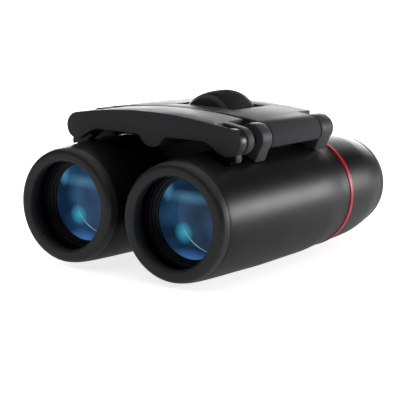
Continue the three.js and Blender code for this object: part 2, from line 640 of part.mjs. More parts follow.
function wheelSlot() {
  const x = [DRIVE_X - SLOT_HALF, DRIVE_X + SLOT_HALF];
  return block(x, [WHEEL_Y - SLOT_MARGIN, WHEEL_END + SLOT_MARGIN], [0, DECK_TOP + PAST]);
}

function coverScrewPlaces() {
  const rows = [CAVITY_Y + 2 * SCREW_HEAD_R, CAVITY_END - 2 * SCREW_HEAD_R];
  return rows.flatMap((y) => [[-COVER_SCREW_X, y], [COVER_SCREW_X, y]]);
}

function coverScrewBores(z1, radius) {
  return coverScrewPlaces().map(([x, y]) => upright(0, z1, radius, x, y));
}

function bridgeHousing() {
  const behind = [SIDE_TUBE_END, DECK_END + PAST];
  const cavityX = [-CAVITY_HALF, CAVITY_HALF];
  const coverX = [-COVER_HALF - GAP, COVER_HALF + GAP];
  return cut(
    slab(bridgeOutline(), BRIDGE_Y, DECK_END, ARC_STEPS),
    sideBlocks(HINGE_X - REAR_WING_INSET, behind, [0, DECK_TOP]),
    sideBlocks(COVER_HALF + PAST, behind, [0, HINGE_Z + REAR_WING_UNDER]),
    hingeBores(...behind, LUG_R + SLIDE_GAP),
    hingeBores(BRIDGE_Y - PAST, DECK_END, ROD_R + GAP),
    driveBore(BRIDGE_Y - PAST, SHAFT_END, SHAFT_R + GAP),
    block(cavityX, [CAVITY_Y, CAVITY_END], [0, DECK_TOP - DECK_THICK]),
    block(coverX, [CAVITY_Y - GAP, CAVITY_END + GAP], [0, UNDERSIDE + COVER_THICK + GAP]),
    wheelSlot(),
    ...coverScrewBores(UNDERSIDE + COVER_SCREW_DEPTH + GAP, SCREW_R + GAP));
}

function bottomCover() {
  return cut(
    block([-COVER_HALF, COVER_HALF], [CAVITY_Y, CAVITY_END], [UNDERSIDE, UNDERSIDE + COVER_THICK]),
    wheelSlot(),
    ...coverScrewBores(DECK_TOP, SCREW_R + GAP),
    ...coverScrewBores(UNDERSIDE + COVER_SCREW_HEAD + GAP / 2, SCREW_HEAD_R + GAP));
}

function coverScrew(x, y) {
  const head = upright(UNDERSIDE, UNDERSIDE + COVER_SCREW_HEAD - GAP / 2, SCREW_HEAD_R, x, y);
  return head.add(upright(UNDERSIDE + GAP / 2, UNDERSIDE + COVER_SCREW_DEPTH, SCREW_R, x, y));
}

function bridge(parent) {
  add(parent, 'bridge_housing', bridgeHousing(), MOULDED_BLACK);
  add(parent, 'bridge_bottom_cover', bottomCover(), MOULDED_BLACK);
  coverScrewPlaces().forEach(([x, y], i) => add(parent, `cover_screw_${i + 1}`, coverScrew(x, y), STEEL));
  for (const [name, side] of [['left', -1], ['right', 1]]) {
    const place = [side * HINGE_X, HINGE_Z];
    const capY = REAR_LUG_END + GAP;
    add(parent, `${name}_hinge_rod`, rod(ARM_Y, REAR_LUG_END, ROD_R, SMALL, ...place), STEEL);
    add(parent, `${name}_rod_cap`, rod(capY, capY + CAP_LENGTH, CAP_R, SMALL, ...place), BLACK_METAL);
  }
}

// ---------- focus drive ----------
function wheelHub() {
  const hub = WHEEL_R - GRIP_DEPTH - GAP;
  const bore = SHAFT_R + GAP;
  return ring([
    [WHEEL_Y, WHEEL_R - WHEEL_BEVEL], [GRIP_Y - GAP, WHEEL_R], [GRIP_Y - GAP, hub],
    [WHEEL_END, hub], [WHEEL_END, bore], [WHEEL_Y, bore],
  ], ROUND).translate([DRIVE_X, 0, DRIVE_Z]);
}

function wheelGrip() {
  const outline = new THREE.Shape(Array.from({ length: 2 * GRIP_RIBS }, (_, i) => {
    const angle = Math.PI * i / GRIP_RIBS;
    const radius = i % 2 ? WHEEL_R : WHEEL_R - RIB_DEPTH;
    return new THREE.Vector2(DRIVE_X + radius * Math.cos(angle), DRIVE_Z + radius * Math.sin(angle));
  }));
  const bore = rod(GRIP_Y - PAST, WHEEL_END + PAST, WHEEL_R - GRIP_DEPTH, ROUND, DRIVE_X, DRIVE_Z);
  return cut(slab(outline, GRIP_Y, WHEEL_END, 1), bore);
}

function focusDrive(parent) {
  add(parent, 'front_plate', frontPlate(), MOULDED_BLACK);
  add(parent, 'focus_nut', focusNut(), BRASS);
  add(parent, 'focus_wheel', wheelHub(), MOULDED_BLACK);
  add(parent, 'focus_wheel_grip', wheelGrip(), RUBBER);
  add(parent, 'focus_shaft', driveBore(SHAFT_Y, SHAFT_END - GAP, SHAFT_R), STEEL);
}

const binoculars = new THREE.Group();
binoculars.position.set(0, -LENGTH / 2, BARREL_R);
bridge(binoculars);
focusDrive(binoculars);
barrel(binoculars, 'right', 1, 'diopter_ring');
barrel(binoculars, 'left', -1, 'eyepiece_ring');

export default binoculars;
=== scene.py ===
"""Compact folding binoculars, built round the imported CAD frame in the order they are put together."""

import json
import math

import bpy
from mathutils import Matrix, Vector


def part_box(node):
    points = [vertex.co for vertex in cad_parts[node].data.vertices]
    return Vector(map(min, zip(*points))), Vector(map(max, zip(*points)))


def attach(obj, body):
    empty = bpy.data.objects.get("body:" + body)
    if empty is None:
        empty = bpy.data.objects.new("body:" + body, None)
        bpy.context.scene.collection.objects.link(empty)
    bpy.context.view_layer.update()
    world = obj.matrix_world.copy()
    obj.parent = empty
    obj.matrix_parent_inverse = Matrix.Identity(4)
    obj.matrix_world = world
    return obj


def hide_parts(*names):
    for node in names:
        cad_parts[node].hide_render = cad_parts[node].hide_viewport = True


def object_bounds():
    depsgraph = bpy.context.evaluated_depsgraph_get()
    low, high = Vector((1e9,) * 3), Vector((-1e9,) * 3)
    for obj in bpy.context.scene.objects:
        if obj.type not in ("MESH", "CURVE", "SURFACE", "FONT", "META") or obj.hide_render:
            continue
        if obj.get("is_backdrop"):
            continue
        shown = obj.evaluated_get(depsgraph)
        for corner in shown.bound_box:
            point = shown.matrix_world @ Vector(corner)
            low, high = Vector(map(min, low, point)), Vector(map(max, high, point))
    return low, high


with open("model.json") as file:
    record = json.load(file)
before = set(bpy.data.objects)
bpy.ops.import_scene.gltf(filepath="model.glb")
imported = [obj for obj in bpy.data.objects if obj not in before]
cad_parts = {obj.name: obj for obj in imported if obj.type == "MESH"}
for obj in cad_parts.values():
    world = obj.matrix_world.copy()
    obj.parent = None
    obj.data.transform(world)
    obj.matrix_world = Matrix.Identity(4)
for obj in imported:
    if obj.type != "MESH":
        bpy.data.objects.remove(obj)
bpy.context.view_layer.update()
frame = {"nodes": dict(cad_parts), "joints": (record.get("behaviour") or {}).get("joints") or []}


# ---------- barrel tubes ----------
# The two barrels are drawn aluminium tubes with a satin black lacquer. Each is turned to a slight
# taper, bored straight through, and slotted under the bridge for the arm that moves the front lens.
MM = 0.001
SIDES = (("right", 1), ("left", -1))
JOINTS = {joint["name"]: joint for joint in frame["joints"]}
HALF_SPACING, _, BARREL_Z = JOINTS["diopter_turn"]["pos_m"]
HINGE_X, _, HINGE_Z = JOINTS["right_swing"]["pos_m"]
FRONT_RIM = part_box("right_front_bezel")[0].y
FOLD = math.atan2(HINGE_X - HALF_SPACING, HINGE_Z - BARREL_Z)
HINGE_ARM = math.hypot(HINGE_X - HALF_SPACING, HINGE_Z - BARREL_Z)


def station(y):
    """A distance behind the front rims, in millimetres, as a place along the frame's Y axis."""
    return FRONT_RIM + y * MM


def faired(stations, step):
    """A smooth profile through [distance, radius] stations, with a point about every step."""
    slopes = [(b[1] - a[1]) / (b[0] - a[0]) for a, b in zip(stations, stations[1:])]
    ends = [slopes[0]] + [2 * a * b / (a + b) if a * b > 0 else 0 for a, b in zip(slopes, slopes[1:])]
    ends.append(slopes[-1])
    points = []
    for (y0, r0), (y1, r1), m0, m1 in zip(stations, stations[1:], ends, ends[1:]):
        width = y1 - y0
        count = max(1, round(abs(width) / step))
        for i in range(count):
            t = i / count
            points.append((y0 + width * t,
                           r0 * (1 + 2 * t) * (1 - t) ** 2 + r1 * t * t * (3 - 2 * t)
                           + width * (m0 * t * (1 - t) ** 2 - m1 * t * t * (1 - t))))
    return points + [tuple(stations[-1])]


def eased(points, closed=True, steps=4):
    """An outline with its corners rounded: a point's third number is how far its corner is cut back."""
    made = []
    for i, (a, b, *ease) in enumerate(points):
        corner = Vector((a, b))
        if not ease or (not closed and i in (0, len(points) - 1)):
            made.append((a, b))
            continue
        before = Vector(points[i - 1][:2]) - corner
        after = Vector(points[(i + 1) % len(points)][:2]) - corner
        before *= min(ease[0], 0.45 * before.length) / before.length
        after *= min(ease[0], 0.45 * after.length) / after.length
        for k in range(steps + 1):
            t = k / steps
            made.append(tuple(corner + before * (1 - t) ** 2 + after * t * t))
    return made


def drawn(name, points):
    """A chain of edges through points, as a new object that is left in edit mode."""
    bpy.ops.object.select_all(action="DESELECT")
    bpy.ops.mesh.primitive_plane_add(size=MM, location=points[0])
    piece = bpy.context.object
    piece.name = piece.data.name = name
    bpy.ops.object.transform_apply(location=True, rotation=True, scale=True)
    bpy.ops.object.mode_set(mode="EDIT")
    bpy.ops.mesh.merge(type="CENTER")
    for start, end in zip(points, points[1:]):
        step = Vector(end) - Vector(start)
        bpy.ops.mesh.extrude_vertices_move(TRANSFORM_OT_translate={"value": step})
    bpy.ops.mesh.select_all(action="SELECT")
    return piece


def smoothed(piece, angle=32):
    """Shades a piece smooth, apart from edges sharper than angle."""
    bpy.ops.object.select_all(action="DESELECT")
    piece.select_set(True)
    bpy.context.view_layer.objects.active = piece
    bpy.ops.object.shade_smooth_by_angle(angle=math.radians(angle))
    return piece


def turned(name, profile, x=0.0, z=BARREL_Z, facets=144, closed=True):
    """A [distance, radius] profile in millimetres, spun round a line along Y through x and z."""
    piece = drawn(name, [(x, station(y), z + r * MM) for y, r in profile])
    if closed:
        bpy.ops.mesh.edge_face_add()
        bpy.ops.mesh.delete(type="ONLY_FACE")
        bpy.ops.mesh.select_all(action="SELECT")
    bpy.ops.mesh.spin(steps=facets, angle=math.tau, center=(x, 0, z), axis=(0, 1, 0))
    bpy.ops.mesh.select_all(action="SELECT")
    bpy.ops.mesh.remove_doubles(threshold=0.002 * MM)
    bpy.ops.mesh.normals_make_consistent(inside=False)
    bpy.ops.object.mode_set(mode="OBJECT")
    return smoothed(piece)


def applied(piece, kind, **settings):
    """Adds one modifier to a piece and applies it."""
    modifier = piece.modifiers.new(kind.title(), kind)
    for key, value in settings.items():
        setattr(modifier, key, value)
    bpy.context.view_layer.objects.active = piece
    bpy.ops.object.modifier_apply(modifier=modifier.name)


def cut_out(piece, cutter):
    """Cuts one solid out of a piece, and removes it."""
    applied(piece, "BOOLEAN", operation="DIFFERENCE", object=cutter, solver="EXACT")
    bpy.data.objects.remove(cutter)


def block(x, y, z, side=0):
    """A cutter between two x, two y stations and two z, in millimetres. With a side given, x and z
    run from that barrel's axis, and z leans with the hinge arm."""
    middle = Vector((sum(x) / 2 * MM, 0, sum(z) / 2 * MM))
    base = Vector((side * HALF_SPACING, station(sum(y) / 2), BARREL_Z))
    turn = Matrix.Rotation(side * FOLD, 4, "Y")
    bpy.ops.object.select_all(action="DESELECT")
    bpy.ops.mesh.primitive_cube_add(
        size=1, location=base + turn @ middle, rotation=(0, side * FOLD, 0),
        scale=((x[1] - x[0]) * MM, (y[1] - y[0]) * MM, (z[1] - z[0]) * MM))
    bpy.ops.object.transform_apply(location=True, rotation=True, scale=True)
    return bpy.context.object


def colour(code):
    """An sRGB hex colour as linear red, green, blue and alpha."""
    parts = [int(code[i:i + 2], 16) / 255 for i in (1, 3, 5)]
    return (*[p / 12.92 if p <= 0.04045 else ((p + 0.055) / 1.055) ** 2.4 for p in parts], 1.0)


def node(material, kind, settings=None, links=None):
    """Adds one node, sets its inputs and properties by name, and links the named inputs."""
    made = material.node_tree.nodes.new(kind)
    for key, value in (settings or {}).items():
        if key in made.inputs:
            made.inputs[key].default_value = value
        else:
            setattr(made, key, value)
    for key, source in (links or {}).items():
        material.node_tree.links.new(source, made.inputs[key])
    return made


def new_finish(name):
    """A new empty node material."""
    material = bpy.data.materials.new(name)
    material.use_nodes = True
    material.node_tree.nodes.clear()
    return material


def give(piece, material, slot, body, *nodes):
    """Gives a finished piece its material and body, and hides the CAD nodes it stands for. slot is not used.
    """
    piece.data.materials.clear()
    piece.data.materials.append(material)
    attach(piece, body)
    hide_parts(*nodes)


# Satin polyurethane lacquer, sprayed over aluminium. It gives an even black with a broad soft
# highlight, a fine orange peel, and slow changes of gloss where it was sprayed thicker.
PEEL_SIZE = 0.9
SPRAY_PATCH = 14
LACQUER = new_finish("satin_black_lacquer")
place = node(LACQUER, "ShaderNodeTexCoord")
peel = node(LACQUER, "ShaderNodeTexNoise", {"Scale": 1000 / PEEL_SIZE, "Detail": 3.0, "Roughness": 0.6},
            {"Vector": place.outputs["Object"]})
spray = node(LACQUER, "ShaderNodeTexNoise", {"Scale": 1000 / SPRAY_PATCH, "Detail": 2.0},
             {"Vector": place.outputs["Object"]})
gloss = node(LACQUER, "ShaderNodeMapRange",
             {"From Min": 0.3, "From Max": 0.7, "To Min": 0.35, "To Max": 0.41},
             {"Value": spray.outputs["Fac"]})
tone = node(LACQUER, "ShaderNodeValToRGB", None, {"Fac": spray.outputs["Fac"]})
tone.color_ramp.elements[0].color = colour("#0c0c0e")
tone.color_ramp.elements[1].color = colour("#121214")
bump = node(LACQUER, "ShaderNodeBump", {"Strength": 0.12, "Distance": 0.012 * MM},
            {"Height": peel.outputs["Fac"]})
shader = node(LACQUER, "ShaderNodeBsdfPrincipled", {"Specular IOR Level": 0.2},
              {"Base Color": tone.outputs["Color"], "Roughness": gloss.outputs["Result"],
               "Normal": bump.outputs["Normal"]})
node(LACQUER, "ShaderNodeOutputMaterial", None, {"Surface": shader.outputs["BSDF"]})

BARREL_R = 16.26
BORE_R = 14.0
TUBE_FRONT, TUBE_REAR = 2.88, 64.74
FRONT_DROP, REAR_DROP = 0.99, 0.56
EDGE = 0.12
ARM_SLOT_HALF = 2.6
TUBE_STATIONS = [(0, 1.5), (0.66, 1.39), (2.46, 1.02), (8.2, 0.65), (20.5, 0.31), (34, 0),
                 (52, 0), (57, 0.2), (60.7, 0.44), (65, 0.56)]
tube_curve = faired([(y, BARREL_R - drop) for y, drop in TUBE_STATIONS], 1.2)
tube_outside = [(TUBE_FRONT, BARREL_R - FRONT_DROP, EDGE), *[p for p in tube_curve if 3.2 < p[0] < 64.6],
                (TUBE_REAR, BARREL_R - REAR_DROP, EDGE)]
for name, side in SIDES:
    tube = turned(f"{name}_tube", eased([*tube_outside, (TUBE_REAR, BORE_R), (TUBE_FRONT, BORE_R)]),
                  side * HALF_SPACING, facets=168)
    cut_out(tube, block((-ARM_SLOT_HALF, ARM_SLOT_HALF), (11.25, 20.95), (0, 20), side))
    smoothed(tube)
    give(tube, LACQUER, "satin_black", f"{name}_barrel", f"{name}_barrel_tube")


# ---------- front bezels ----------
# A turned aluminium bezel screws into the front of each barrel and keeps the lens cell in. It has a
# broad lip with a rounded rim, and is black anodised, with no lacquer over it.

# Black anodising on a bead-blasted face. It gives a dark grey, a little paler than the lacquer, that
# is matt up close and has a soft sheen on the rounded rim.
BLAST_GRAIN = 0.7
BEZEL_BLACK = new_finish("satin_black_anodised_bezel")
place = node(BEZEL_BLACK, "ShaderNodeTexCoord")
grain = node(BEZEL_BLACK, "ShaderNodeTexNoise", {"Scale": 1000 / BLAST_GRAIN, "Detail": 3.0},
             {"Vector": place.outputs["Object"]})
gloss = node(BEZEL_BLACK, "ShaderNodeMapRange", {"To Min": 0.36, "To Max": 0.46},
             {"Value": grain.outputs["Fac"]})
tone = node(BEZEL_BLACK, "ShaderNodeValToRGB", None, {"Fac": grain.outputs["Fac"]})
tone.color_ramp.elements[0].color = colour("#222224")
tone.color_ramp.elements[1].color = colour("#2e2e30")
bump = node(BEZEL_BLACK, "ShaderNodeBump", {"Strength": 0.1, "Distance": 0.01 * MM},
            {"Height": grain.outputs["Fac"]})
shader = node(BEZEL_BLACK, "ShaderNodeBsdfPrincipled",
              {"Specular IOR Level": 0.35, "Coat Weight": 0.08, "Coat Roughness": 0.25},
              {"Base Color": tone.outputs["Color"], "Roughness": gloss.outputs["Result"],
               "Normal": bump.outputs["Normal"]})
node(BEZEL_BLACK, "ShaderNodeOutputMaterial", None, {"Surface": shader.outputs["BSDF"]})

LIP_R = 11.5
for name, side in SIDES:
    bezel = turned(f"{name}_bezel", eased([
        (0, 14.76, 1.3), (2.84, BARREL_R - FRONT_DROP, EDGE), (2.84, 13.7), (5.5, 13.7, 0.1),
        (5.5, 13.2, 0.1), (2.6, 13.2, 0.2), (2.6, LIP_R + 0.25, 0.25), (1.1, LIP_R, 0.3),
        (0.1, LIP_R + 0.35, 0.5),
    ], steps=6), side * HALF_SPACING, facets=168)
    give(bezel, BEZEL_BLACK, "satin_black", f"{name}_barrel", f"{name}_front_bezel")


# ---------- trim rings and rear shells ----------
# A red anodised ring is trapped between each barrel and its rear shell. The shell is a lacquered
# moulding that rounds in like a dome to the eyepiece and covers the prisms.

# Dyed anodising on turned aluminium. It gives a deep even red under a clear hard skin, with a faint
# streak from the turning; the real turning marks are finer than can be seen.
TURNING_MARK = 0.8
RED_RING = new_finish("red_anodised_aluminium")
place = node(RED_RING, "ShaderNodeTexCoord")
turning = node(RED_RING, "ShaderNodeTexNoise", {"Scale": 1000 / TURNING_MARK, "Detail": 2.0},
               {"Vector": place.outputs["Object"]})
tone = node(RED_RING, "ShaderNodeValToRGB", None, {"Fac": turning.outputs["Fac"]})
tone.color_ramp.elements[0].color = colour("#b80d26")
tone.color_ramp.elements[1].color = colour("#d81432")
gloss = node(RED_RING, "ShaderNodeMapRange", {"To Min": 0.28, "To Max": 0.4},
             {"Value": turning.outputs["Fac"]})
shader = node(RED_RING, "ShaderNodeBsdfPrincipled",
              {"Specular IOR Level": 0.25, "Coat Weight": 0.1, "Coat Roughness": 0.2},
              {"Base Color": tone.outputs["Color"], "Roughness": gloss.outputs["Result"]})
node(RED_RING, "ShaderNodeOutputMaterial", None, {"Surface": shader.outputs["BSDF"]})

RING_DROP = 0.36
SHELL_STATIONS = [(66.36, 0.58), (71.4, 0.66), (78.7, 0.94), (84.4, 1.7), (88.3, 2.42)]
shell_outside = faired([(y, BARREL_R - drop) for y, drop in SHELL_STATIONS], 0.9)
for name, side in SIDES:
    ring = turned(f"{name}_red_ring", eased([
        (64.8, BARREL_R - RING_DROP, EDGE), (66.3, BARREL_R - RING_DROP, EDGE),
        (66.3, 14.9), (64.8, 14.9)]), side * HALF_SPACING, facets=168)
    give(ring, RED_RING, "red_trim", f"{name}_barrel", f"{name}_trim_ring")
    shell = turned(f"{name}_shell", eased([
        (*shell_outside[0], EDGE), *shell_outside[1:-1], (88.3, BARREL_R - 2.42, 0.3), (88.3, 8.6, 0.2),
        (86.6, 8.6, 0.2), (86.6, 12.6, 1.0), (78.7, 13.6), (69.9, 13.9), (66.36, 13.9, 0.1)]),
        side * HALF_SPACING, facets=168)
    give(shell, LACQUER, "satin_black", f"{name}_barrel", f"{name}_rear_shell")


# ---------- eyepiece rings and eyecups ----------
# Moulded rings close the rear. The right one turns to match the two eyes and is ribbed for the
# fingers; the left one is fixed and plain. A soft rubber eyecup is pressed over each eyepiece tube.
RIBS = 72
RIB_SHARE = 0.45
RIB_DEPTH = 0.978
WORN_PATCH = 9


def moulded_black(name, dark, light, grain_size, low, high):
    """A black moulding from a spark-eroded tool, in ABS or rubber. It gives a fine matt grain, worn
    a little shinier in places."""
    material = new_finish(name)
    coords = node(material, "ShaderNodeTexCoord")
    spark = node(material, "ShaderNodeTexNoise",
                 {"Scale": 1000 / grain_size, "Detail": 4.0, "Roughness": 0.7},
                 {"Vector": coords.outputs["Object"]})
    wear = node(material, "ShaderNodeTexNoise", {"Scale": 1000 / WORN_PATCH, "Detail": 2.0},
                {"Vector": coords.outputs["Object"]})
    shade = node(material, "ShaderNodeValToRGB", None, {"Fac": spark.outputs["Fac"]})
    shade.color_ramp.elements[0].color = colour(dark)
    shade.color_ramp.elements[1].color = colour(light)
    shine = node(material, "ShaderNodeMapRange",
                 {"From Min": 0.3, "From Max": 0.7, "To Min": low, "To Max": high},
                 {"Value": wear.outputs["Fac"]})
    relief = node(material, "ShaderNodeBump", {"Strength": 0.25, "Distance": 0.02 * MM},
                  {"Height": spark.outputs["Fac"]})
    surface = node(material, "ShaderNodeBsdfPrincipled", {"Specular IOR Level": 0.2},
                   {"Base Color": shade.outputs["Color"], "Roughness": shine.outputs["Result"],
                    "Normal": relief.outputs["Normal"]})
    node(material, "ShaderNodeOutputMaterial", None, {"Surface": surface.outputs["BSDF"]})
    return material


MOULDED = moulded_black("moulded_black_abs", "#3a3a3c", "#464648", 0.5, 0.46, 0.56)
RUBBER = moulded_black("matt_black_rubber", "#0e0e0f", "#161617", 0.7, 0.62, 0.78)

RING_STATIONS = [(88.45, 2.44), (91.0, 2.96), (92.2, 3.8), (92.9, 4.9), (93.2, 5.7)]
ring_outside = faired([(y, BARREL_R - drop) for y, drop in RING_STATIONS], 0.4)
for name, side in SIDES:
    end_ring = turned(f"{name}_end_ring", eased([
        (*ring_outside[0], 0.15), *ring_outside[1:], (93.2, 8.6, 0.15), (88.45, 8.6)]),
        side * HALF_SPACING, facets=4 * RIBS)
    if side > 0:
        bpy.ops.object.mode_set(mode="EDIT")
        bpy.ops.mesh.select_all(action="DESELECT")
        bpy.ops.object.mode_set(mode="OBJECT")
        for vertex in end_ring.data.vertices:
            x, z = vertex.co.x - HALF_SPACING, vertex.co.z - BARREL_Z
            turn = math.atan2(x, z) / math.tau * RIBS % 1
            outside = math.hypot(x, z) > 12.9 * MM
            beside = 88.9 * MM < vertex.co.y - FRONT_RIM < 91.3 * MM
            vertex.select = outside and beside and turn < RIB_SHARE
        bpy.ops.object.mode_set(mode="EDIT")
        bpy.ops.transform.resize(value=(RIB_DEPTH, 1, RIB_DEPTH),
                                 center_override=(HALF_SPACING, 0, BARREL_Z))
        bpy.ops.object.mode_set(mode="OBJECT")
        give(end_ring, MOULDED, "moulded_black", "right_diopter", "right_diopter_ring")
    else:
        give(end_ring, MOULDED, "moulded_black", "left_barrel", "left_eyepiece_ring")
    cup = turned(f"{name}_soft_eyecup", eased([
        (93.5, 10.2, 0.2), (94.2, 10.2, 0.2), (94.5, 9.9, 0.2), (94.9, 9.9, 0.2), (95.2, 10.2, 0.2),
        (97.2, 10.2, 0.7), (97.2, 8.6, 0.7), (93.5, 8.6)]), side * HALF_SPACING, facets=96)
    eyepiece = "right_eyepiece" if side > 0 else "left_barrel"
    give(cup, RUBBER, "rubber", eyepiece, f"{name}_eyecup")


# ---------- objective lenses ----------
# Each 23 mm lens sits in a blackened aluminium cell behind a threaded retaining ring. The ring is
# turned with a fine step, and the glass has a blue coating that throws back most of the light.

# Black anodising on turned aluminium. It gives a near black with thin lines of light on each step.
# The turning marks are drawn 2.5 mm apart, far coarser than the real tenth of a millimetre, so that
# they show; a wave texture repeats every 0.314 of its scale.
LATHE_MARK = 8
ANODISED = new_finish("black_anodised_aluminium")
place = node(ANODISED, "ShaderNodeTexCoord")
turning = node(ANODISED, "ShaderNodeTexWave",
               {"Scale": 1000 / LATHE_MARK, "Distortion": 0.4, "bands_direction": "Y", "Detail": 1.0},
               {"Vector": place.outputs["Object"]})
gloss = node(ANODISED, "ShaderNodeMapRange", {"To Min": 0.3, "To Max": 0.42},
             {"Value": turning.outputs["Fac"]})
bump = node(ANODISED, "ShaderNodeBump", {"Strength": 0.2, "Distance": 0.02 * MM},
            {"Height": turning.outputs["Fac"]})
shader = node(ANODISED, "ShaderNodeBsdfPrincipled",
              {"Base Color": colour("#0f0f10"), "Specular IOR Level": 0.35},
              {"Roughness": gloss.outputs["Result"], "Normal": bump.outputs["Normal"]})
node(ANODISED, "ShaderNodeOutputMaterial", None, {"Surface": shader.outputs["BSDF"]})

# Crown glass with a vacuum coating. Its colour is painted with the deep blue that the coating throws back,
# uneven like the coating, and with painted reflections of what such a lens shows: the floor as a violet
# edge, a pale bar and a corner of light from above, a teal image from the rear glass, and a thin bright
# painted highlight arc. Each has its middle, across and up from the lens axis, and its half width and
# half height, in millimetres.
COATING_PATCH = 9
BLUE_GLASS_PAINTED_GLOW_AND_REFLECTIONS = new_finish("blue_coated_crown_glass")
place = node(BLUE_GLASS_PAINTED_GLOW_AND_REFLECTIONS, "ShaderNodeTexCoord")
axes = node(BLUE_GLASS_PAINTED_GLOW_AND_REFLECTIONS, "ShaderNodeSeparateXYZ", None, {"Vector": place.outputs["Object"]})
across = node(BLUE_GLASS_PAINTED_GLOW_AND_REFLECTIONS, "ShaderNodeMath", {"operation": "WRAP"}, {"Value": axes.outputs["X"]})
across.inputs[1].default_value = 2 * HALF_SPACING
across.inputs[2].default_value = 0.0
face = node(BLUE_GLASS_PAINTED_GLOW_AND_REFLECTIONS, "ShaderNodeCombineXYZ", None,
            {"X": across.outputs["Value"], "Z": axes.outputs["Z"]})
film = node(BLUE_GLASS_PAINTED_GLOW_AND_REFLECTIONS, "ShaderNodeTexNoise", {"Scale": 1000 / COATING_PATCH, "Detail": 1.0},
            {"Vector": place.outputs["Object"]})
tone = node(BLUE_GLASS_PAINTED_GLOW_AND_REFLECTIONS, "ShaderNodeValToRGB", None, {"Fac": film.outputs["Fac"]})
tone.color_ramp.elements[0].color = colour("#12263c")
tone.color_ramp.elements[0].position = 0.35
tone.color_ramp.elements[1].color = colour("#24486a")
tone.color_ramp.elements[1].position = 0.65
seen = tone.outputs["Color"]
PAINTED_REFLECTIONS = [(0, -12, 9, 4.6), (-1.5, 5.3, 9.5, 2.0), (-7.9, 6.6, 2.0, 3.6), (-2.2, -3.8, 3.0, 3.0)]
PAINTED_REFLECTION_TINTS = ("#4f8ad4", "#41718f", "#4c86aa", "#36a0bc")
PAINTED_ARC_REACH = (1.5, -6, 6.5, 6.5)
PAINTED_ARC_ROUND = (7.1, 2.6, 21.4, 21.4)
painted_reflection_fades = []
for x, z, wide, high in (*PAINTED_REFLECTIONS, PAINTED_ARC_REACH, PAINTED_ARC_ROUND):
    spot = node(BLUE_GLASS_PAINTED_GLOW_AND_REFLECTIONS, "ShaderNodeMapping",
                {"Location": (-(HALF_SPACING / MM + x) / wide, 0, -(BARREL_Z / MM + z) / high),
                 "Scale": (1000 / wide, 0, 1000 / high)}, {"Vector": face.outputs["Vector"]})
    painted_reflection_fades.append(node(BLUE_GLASS_PAINTED_GLOW_AND_REFLECTIONS, "ShaderNodeTexGradient", {"gradient_type": "SPHERICAL"},
                      {"Vector": spot.outputs["Vector"]}).outputs["Fac"])
# Each painted reflection is blended into the colour as a soft patch of its tint.
for fade, tint in zip(painted_reflection_fades, PAINTED_REFLECTION_TINTS):
    seen = node(BLUE_GLASS_PAINTED_GLOW_AND_REFLECTIONS, "ShaderNodeMixRGB", {"Color2": colour(tint)},
                {"Fac": fade, "Color1": seen}).outputs["Color"]
*_, highlight_arc_reach, highlight_arc_round = painted_reflection_fades
# The thin painted highlight arc: a narrow ring of the round fade, kept only inside its reach.
edge = node(BLUE_GLASS_PAINTED_GLOW_AND_REFLECTIONS, "ShaderNodeValToRGB", None, {"Fac": highlight_arc_round})
edge.color_ramp.elements[0].position = 0.491
edge.color_ramp.elements[1].position = 0.509
edge.color_ramp.elements[1].color = colour("#000000")
edge.color_ramp.elements.new(0.5).color = colour("#ffffff")
painted_arc_highlight = node(BLUE_GLASS_PAINTED_GLOW_AND_REFLECTIONS, "ShaderNodeMath", {"operation": "MULTIPLY"}, {"Value": edge.outputs["Color"]})
BLUE_GLASS_PAINTED_GLOW_AND_REFLECTIONS.node_tree.links.new(highlight_arc_reach, painted_arc_highlight.inputs[1])
seen = node(BLUE_GLASS_PAINTED_GLOW_AND_REFLECTIONS, "ShaderNodeMixRGB", {"Color2": colour("#9cc4dc")},
            {"Fac": painted_arc_highlight.outputs["Value"], "Color1": seen}).outputs["Color"]
# The painted colour is also given as emission, so the lens glows a little though it is no lamp.
shader = node(BLUE_GLASS_PAINTED_GLOW_AND_REFLECTIONS, "ShaderNodeBsdfPrincipled",
              {"Roughness": 0.05, "Specular IOR Level": 0.2, "Coat Weight": 0.06, "Coat Roughness": 0.02,
               "Emission Strength": 0.7}, {"Base Color": seen, "Emission Color": seen})
node(BLUE_GLASS_PAINTED_GLOW_AND_REFLECTIONS, "ShaderNodeOutputMaterial", None, {"Surface": shader.outputs["BSDF"]})


LENS_R = 11.5


def bulge(curve, radius=LENS_R, steps=10):
    """A spherical face from the axis out to radius, as [how far it stands out, radius] points."""
    rim = curve - math.sqrt(curve ** 2 - radius ** 2)
    return [(math.sqrt(curve ** 2 - (radius * i / steps) ** 2) - curve + rim, radius * i / steps)
            for i in range(steps + 1)]


for name, side in SIDES:
    x = side * HALF_SPACING
    cell = turned(f"{name}_lens_cell", eased([
        (7.0, 12.9, 0.1), (9.6, 12.9), (9.6, 13.6, 0.15), (21.0, 13.6, 0.1), (21.0, 10.8, 0.2),
        (13.2, 10.8, 0.1), (13.2, 11.8), (9.4, 11.8), (9.4, 12.55), (7.0, 12.55, 0.1)]), x, facets=120)
    cut_out(cell, block((-2.5, 2.5), (13.85, 22), (12.9, 20), side))
    smoothed(cell)
    give(cell, ANODISED, "black_metal", f"{name}_objective", f"{name}_objective_cell")
    keeper = turned(f"{name}_lens_keeper", eased([
        (7.1, 12.4, 0.1), (9.3, 12.4, 0.1), (9.3, 10.4, 0.1), (8.75, 10.4, 0.1), (8.65, 10.9, 0.1),
        (8.1, 10.95, 0.1), (8.0, 11.5, 0.1), (7.1, 11.7, 0.15)]), x, facets=120)
    give(keeper, ANODISED, "black_metal", f"{name}_objective", f"{name}_retaining_ring")
    glass = turned(f"{name}_front_lens", [
        *[(9.7 - out, r) for out, r in bulge(60)],
        *[(12.6 + out, r) for out, r in reversed(bulge(80))]], x, facets=120, closed=False)
    give(glass, BLUE_GLASS_PAINTED_GLOW_AND_REFLECTIONS, "coated_glass", f"{name}_objective", f"{name}_objective_lens")


